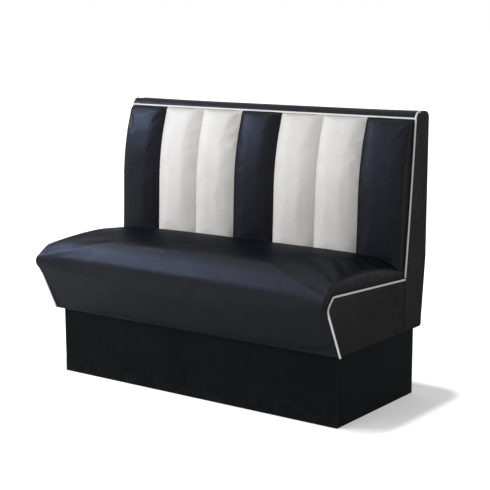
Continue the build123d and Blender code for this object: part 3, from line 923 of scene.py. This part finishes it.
def strapping(name, deep, pale, stripe):
    """Elastic webbing: a coarse weave with a coloured thread now and then."""
    made, tree, place = started(name)
    threads = use(tree, "weave", place, Threads=620)
    worn = mottled(tree, place, 20)
    base = mixed(tree, threads["Across"], deep, pale)
    base = stained(tree, base, (stripe, worn, 0.4))
    rough = levels(tree, threads["Height"], 0, 1, 0.95, 0.75)
    normal = bumped(tree, threads["Height"], 0.0004)
    return finished(made, base, rough, normal, Specular_IOR_Level=0.2, Sheen_Weight=0.1)


def zinc():
    """Zinc plated steel, with a crystal pattern and dull fingerprints."""
    made, tree, place = started("zinc_steel")
    tone = use(tree, "spangle", place)["Tone"]
    cloudy = mottled(tree, place, 90)
    base = mixed(tree, tone, (0.50, 0.51, 0.52), (0.66, 0.67, 0.69))
    base = stained(tree, base, ((0.42, 0.40, 0.36), cloudy, 0.4))
    rough = plus(tree, levels(tree, tone, 0, 1, 0.28, 0.42), times(tree, cloudy, 0.12))
    normal = bumped(tree, tone, 0.00004)
    return finished(made, base, rough, normal, Metallic=1)


def studio_floor():
    """Pale floor with a painted glow that only the camera sees: weak inside a box round the plinth, set off
    to the right and back, and near white beyond it, so the floor shows as white away from the bench's
    shadow and the shadow shows only in that box.
    """
    made, tree, place = started("studio_floor")
    tree.nodes.remove(tree.nodes["Principled BSDF"])
    tone = levels(tree, noise_of(tree, place, 3, 2), 0.2, 0.8, 0.895, 0.905)
    paint = node(tree, "ShaderNodeBsdfDiffuse", {"Color": tone})
    away = vector_calc(tree, "ABSOLUTE", vector_calc(tree, "SUBTRACT", place, shadow_box_middle))
    outside = vector_calc(tree, "MAXIMUM", vector_calc(tree, "SUBTRACT", away, shadow_box_half))
    distance = node(tree, "ShaderNodeVectorMath", {0: outside}, operation="LENGTH").outputs["Value"]
    # Painted light: the camera-only glow rises with the distance from the box, whitening the floor and the
    # bench's shadow beyond it.
    painted_floor_glow = levels(tree, distance, 0.07, 0.14, floor_glow_near_bench, 0.9)
    seen = node(tree, "ShaderNodeLightPath").outputs["Is Camera Ray"]
    lift = node(tree, "ShaderNodeEmission", {"Strength": times(tree, seen, painted_floor_glow)})
    both = node(tree, "ShaderNodeAddShader", {0: paint.outputs[0], 1: lift.outputs[0]})
    feed(tree, tree.nodes["Material Output"].inputs["Surface"], both.outputs[0])
    return made


# Light
floor_reach = 14
# Painted glow of the floor inside the box, and that box, set off to the right and back of the plinth,
# beyond which the glow whitens the floor's shadow away.
floor_glow_near_bench = 0.255
sky_strength = 0.49
shadow_box_middle = (0.0275, plinth_front + 0.29, 0)
shadow_box_half = (0.6025, 0.20, 1)


def make_world():
    """White to the camera and in reflections, a soft even light on everything else."""
    world = bpy.data.worlds.new("studio")
    scene.world = world
    world.use_nodes = True
    tree = world.node_tree
    path = node(tree, "ShaderNodeLightPath").outputs
    seen = calc(tree, "MAXIMUM", path["Is Camera Ray"], path["Is Glossy Ray"])
    seen = calc(tree, "MAXIMUM", seen, path["Is Transmission Ray"])
    strength = levels(tree, seen, 0, 1, sky_strength, 1)
    sky = tree.nodes["Background"].inputs
    sky["Color"].default_value = (1, 1, 1, 1)
    feed(tree, sky["Strength"], strength)


def make_light(name, place, target, size, power, colour=(1, 1, 1), gloss_only=False):
    """A softbox at a place, turned towards a target. It lights surfaces or is seen in their gloss."""
    data = bpy.data.lights.new(name, "AREA")
    data.shape = "RECTANGLE"
    data.size, data.size_y = size
    data.energy = power
    data.color = colour
    lamp = placed(name, data)
    lamp.location = place
    lamp.rotation_euler = (Vector(target) - Vector(place)).to_track_quat("-Z", "Y").to_euler()
    lamp.visible_camera = False
    lamp.visible_diffuse = not gloss_only
    lamp.visible_glossy = gloss_only


def make_floor():
    far = floor_reach
    corners = [(-far, -far, 0), (far, -far, 0), (far, far, 0), (-far, far, 0)]
    floor = mesh_object("floor", corners, [], [(0, 1, 2, 3)])
    floor.data.materials.append(studio_floor())


# Making the bench
def mark_seams(obj, distance):
    """Keeps each vertex's distance to the nearest seam for the vinyl's gathers."""
    values = obj.data.attributes.new("seam", "FLOAT", "POINT")
    values.data.foreach_set("value", [max(0, distance(v.co)) for v in obj.data.vertices])


def from_ends(co):
    return skin_half - abs(co.x)


def from_channel_seams(co):
    return min(*(abs(co.x - seam_place(i)) for i in range(channel_count + 1)), channel_top - co.z)


def from_head_seams(co):
    depth = co.y - plinth_front
    front = co.z - top_piping_height if depth < head_front[0] else 1
    rear = co.z - rear_seam if depth > head_rear[0] else 1
    return min(from_ends(co), front, rear)


def from_rear_seams(co):
    return min(from_ends(co), rear_seam - co.z)


def from_outline(outline):
    places = [Vector(p) for p in outline]

    def distance(co):
        place = Vector((co.y - plinth_front, co.z))
        return min((place - p).length for p in places)

    return distance


def seat_held(co):
    """1 where the seat's cover is sewn, stapled or lies on the frame, falling off beside it."""
    depth = co.y - plinth_front
    on_frame = depth > front_line(co.z) + 0.004 and co.z < foam_bottom + 0.0005
    if on_frame or depth > joint - 0.002:
        return 1
    return max(math.exp(-from_ends(co) / 0.006), math.exp(-(co.z - unit_bottom) / 0.008))


def channel_held(co):
    """1 along a channel's seams, at its back and where it meets the seat, falling off beside them."""
    depth = co.y - plinth_front
    if depth > facing_depth(co.z) - 0.001:
        return 1
    above = max(0, co.z - seat_top(co.x, depth))
    return max(math.exp(-from_channel_seams(co) / 0.003), math.exp(-above / 0.006))


# How the covers' cloth behaves: stiff vinyl over foam that presses it outwards
cover_cloth = {
    "quality": 3,
    "mass": 0.4,
    "tension_stiffness": 25,
    "compression_stiffness": 25,
    "shear_stiffness": 8,
    "bending_stiffness": 2,
    "use_pressure": True,
    "uniform_pressure_force": 4,
    "vertex_group_mass": "sewn",
    "vertex_group_shrink": "fullness",
    "shrink_min": -0.010,
    "shrink_max": 0.005,
}
settling_frames = 20
furthest_swell = 1.6


def swelled(obj, held, ease):
    """Cut a little small, a sewn cover swells as cloth over its foam, held at its seams."""
    mesh = obj.data
    normals = [v.normal.copy() for v in mesh.vertices]
    sewn = obj.vertex_groups.new(name="sewn")
    fullness = obj.vertex_groups.new(name="fullness")
    for i, vertex in enumerate(mesh.vertices):
        hold = min(1, held(vertex.co))
        sewn.add([i], hold, "REPLACE")
        fullness.add([i], 0.5 + 0.5 * noise.noise(vertex.co * 15), "REPLACE")
        vertex.co -= normals[i] * (ease * (1 - hold))
    cut = [v.co.copy() for v in mesh.vertices]
    cover = obj.modifiers.new("cover", "CLOTH")
    for name, value in cover_cloth.items():
        setattr(cover.settings, name, value)
    cover.settings.effector_weights.gravity = 0
    cover.point_cache.frame_start = 1
    cover.point_cache.frame_end = settling_frames
    for number in range(1, settling_frames + 1):
        scene.frame_set(number)
    shown = obj.evaluated_get(bpy.context.evaluated_depsgraph_get())
    settled = [v.co.copy() for v in shown.data.vertices]
    obj.modifiers.clear()
    obj.vertex_groups.clear()
    scene.frame_set(1)
    reach = furthest_swell * ease
    for vertex, place, after in zip(mesh.vertices, cut, settled):
        step = after - place
        vertex.co = place + step * (reach * math.tanh(step.length / reach) / max(step.length, 0.000001))
    return obj


def make_sheet(name, low_y, high_y, bottom, thickness, sag=lambda x, share: 0):
    """A cloth stretched level across the bench, sagging a little between its supports."""
    rings = []
    for x in even_places(120):
        lower = []
        for y, _ in run((low_y, 0), (high_y, 0), 30):
            lower.append((y, bottom - sag(x, (y - low_y) / (high_y - low_y))))
        lower.append((high_y, bottom))
        upper = [(y, z + thickness) for y, z in reversed(lower)]
        rings.append([at(x, y, z) for y, z in lower + upper])
    return piece(name, *skinned(rings))


def bay_sag(x, share):
    """Sag of the seat's dust cloth between its boards and ribs."""
    for depth, start, width in ((0.0022, 0.198, 0.377), (0.0012, 0.009, 0.171)):
        across = (abs(x) - start) / width
        if 0 < across < 1:
            return depth * math.sin(math.pi * across) * math.sin(math.pi * share)
    return 0


def strap_piece(name, straps):
    """Flat straps with rounded edges, each along a line of places with its width's direction."""
    vertices, faces = [], []
    half, thick = strap_half_width, strap_half_thickness
    flat = half - 0.0012
    section = [(-half, 0), (-flat, -thick), (flat, -thick), (half, 0), (flat, thick), (-flat, thick)]
    for line, side in straps:
        rings = [[place + side * s + Vector((0, 0, z)) for s, z in section] for place in line]
        more, quads = skinned(rings)
        faces += [tuple(len(vertices) + i for i in face) for face in quads]
        vertices += more
    return piece(name, vertices, faces, 50)


def make_webbing():
    """Elastic straps woven over and under each other across the open seat frame."""
    row_gap = (frame_rear - frame_front) / 3
    column_gap = 2 * frame_half / 8

    def strap_place(x, depth, wave, ease):
        return at(x, depth, frame_top + 0.001 + 0.001 * (1 + wave) * min(1, ease))

    long_straps, cross_straps = [], []
    for column in range(8):
        x = -frame_half + column_gap * (column + 0.5)
        line = []
        for i in range(61):
            share = i / 60
            wave = math.cos(3 * math.pi * (share - 1 / 6)) * (-1) ** column
            depth = frame_front + (frame_rear - frame_front) * share
            line.append(strap_place(x, depth, wave, 8 * min(share, 1 - share)))
        long_straps.append((line, Vector((1, 0, 0))))
    for row in range(3):
        depth = frame_front + row_gap * (row + 0.5)
        line = []
        for x in even_places(160):
            wave = -math.cos(math.pi * ((x + frame_half) / column_gap - 0.5)) * (-1) ** row
            line.append(strap_place(x, depth, wave, (skin_half - abs(x)) / 0.03))
        cross_straps.append((line, Vector((0, 1, 0))))
    return strap_piece("seat_straps_long", long_straps), strap_piece("seat_straps_cross", cross_straps)


def upholster(obj, colour, distance, fill, *nodes):
    """Finishes a padded piece in one of the vinyls, with its seams' distances; its filled share is not
    used.
    """
    finish_piece(obj, vinyls[colour], f"{colour}_vinyl", *nodes)
    mark_seams(obj, distance)


def dress(material, *names):
    """Gives CAD nodes of the right shape their finish."""
    for name in names:
        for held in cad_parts[name].material_slots:
            held.material = material


make_camera()
make_world()
make_floor()
make_light("key_softbox", at(-3.0, -2.2, 2.9), at(0.1, 0.1, 0.45), (1.7, 1.7), 111)
make_light("front_fill", at(-0.9, -2.6, 1.0), at(0, 0.2, 0.6), (1.6, 1.0), 26)
sheen_blue = (0.46, 0.60, 1)
make_light("sheen_softbox", at(-1.25, -0.14, 1.38), at(-0.2, 0.1, 0.55), (0.45, 0.28), 20, sheen_blue, True)

# Each vinyl's deep, pale and grimy colours, its roughness and its shine
looks = {
    "navy": ((0.0056, 0.0062, 0.0104), (0.0088, 0.0096, 0.0150), (0.0034, 0.0034, 0.0046), 0.29, 0.140),
    "cream": ((0.68, 0.67, 0.65), (0.745, 0.74, 0.725), (0.42, 0.39, 0.33), 0.42, 0.22),
    "black": ((0.0010, 0.0010, 0.0010), (0.0024, 0.0023, 0.0023), (0.0008, 0.0008, 0.0008), 0.45, 0.195),
}
vinyls = {colour: vinyl(f"{colour}_vinyl", *look) for colour, look in looks.items()}
white = vinyl(
    "white_piping", (0.86, 0.86, 0.86), (0.91, 0.91, 0.92), (0.62, 0.60, 0.55), 0.38, 0.40, 1400, 0.00006
)

upholster(swelled(make_seat(), seat_held, 0.003), "navy", from_ends, 0.8, "seat_cover", "seat_foam")
for index, colour in enumerate(vinyl_colours):
    channel = swelled(make_channel(index), channel_held, 0.0018)
    stood_for = (f"channel_{index + 1}_cover", f"channel_{index + 1}_foam")
    upholster(channel, colour, from_channel_seams, 0.8, *stood_for)
upholster(make_head(), "navy", from_head_seams, 0.5, "back_head_cover", "back_head_padding")
upholster(make_rear(), "black", from_rear_seams, 0.3, "back_rear_cover", "back_rear_padding")
for label, side in side_signs:
    for unit, outline, welted in (("back", back_outline(), 43), ("seat", seat_side_outline(), 54)):
        panel = make_side_panel(f"{unit}_{label}_side", outline, welted, side)
        upholster(panel, "black", from_outline(outline), 0.2, f"{unit}_{label}_panel")

welt = piping_tree()
welts = {}
for unit, path in (("seat", seat_piping_path()), ("back", back_piping_path())):
    for label, side in side_signs:
        welts[f"{unit}_{label}_piping"] = [at(side * piping_x, y, z) for y, z in path]
welts["back_top_piping"] = [at(x, top_front, top_piping_height) for x in even_places(120)]
for name, path in welts.items():
    tube = grow(
        path_object(name.replace("piping", "welt"), [path]),
        welt,
        {"Radius": piping_radius, "Spacing": 0.004, "Sides": 16, "Finish": white},
    )
    finish_piece(tube, white, "white_piping", name)

steel = zinc()
dust = cloth("dust_cloth", (0.008, 0.008, 0.009), (0.018, 0.018, 0.019), (0.045, 0.045, 0.048), 0.0002)
felt = cloth("felt", (0.13, 0.125, 0.12), (0.21, 0.20, 0.19), (0.32, 0.16, 0.12), 0.0008)
straps = strapping("webbing", (0.09, 0.075, 0.055), (0.20, 0.17, 0.12), (0.16, 0.05, 0.035))
seat_cloth = make_sheet(
    "seat_underside_cloth", -0.012, joint - 0.0005, cloth_bottom, cloth_thickness, bay_sag
)
finish_piece(seat_cloth, dust, "dust_cloth", "seat_dust_cloth")
back_cloth = make_sheet(
    "back_underside_cloth", joint + 0.0005, back_foot - foot_radius, cloth_bottom, cloth_thickness
)
finish_piece(back_cloth, dust, "dust_cloth", "back_dust_cloth")
pad = make_sheet("seat_felt_sheet", frame_front, frame_rear, 0.3641, 0.0036)
finish_piece(pad, felt, "felt", "seat_felt")
staple_height = 0.2329
across = [[(x, depth) for x in (-0.578, 0.578)] for depth in (-0.006, joint - 0.008, joint + 0.008)]
along = [[(side * 0.584, depth) for depth in (0.02, joint - 0.03)] for _, side in side_signs]
staples = grow(
    path_object("underside_staples", [[at(x, y, staple_height) for x, y in row] for row in across + along]),
    staple_tree(),
    {"Spacing": 0.040, "Length": 0.011, "Thickness": 0.0005, "Seed": 7, "Finish": steel},
)
finish_piece(staples, steel, "zinc_steel")
long_straps, cross_straps = make_webbing()
finish_piece(long_straps, straps, "webbing", "seat_webbing_front_to_rear")
finish_piece(cross_straps, straps, "webbing", "seat_webbing_side_to_side")

dress(laminate(), "plinth_front_panel", "plinth_rear_panel", "plinth_left_panel", "plinth_right_panel")
quarter = math.pi / 2
pale_wood, dark_wood = (0.62, 0.46, 0.29), (0.40, 0.25, 0.13)
dress(
    timber("softwood_along_x", (0, 0, 0), dark_wood, pale_wood),
    "seat_front_rail", "seat_rear_rail", "back_top_rail", "back_bottom_rail",
    "back_facing", "back_rear_board",
)
dress(
    timber("softwood_along_y", (0, 0, -quarter), dark_wood, pale_wood),
    "plinth_cross_rail", "seat_left_board", "seat_right_board", "seat_left_rib", "seat_right_rib",
)
dress(
    timber("softwood_upright", (0, quarter, 0), dark_wood, pale_wood),
    "plinth_corner_blocks", "seat_corner_blocks", "back_left_board", "back_right_board",
    "back_left_upright", "back_right_upright",
)
dress(steel, "plinth_brackets", "bracket_screws", "joining_bolts", "joining_washers", "joining_nuts")
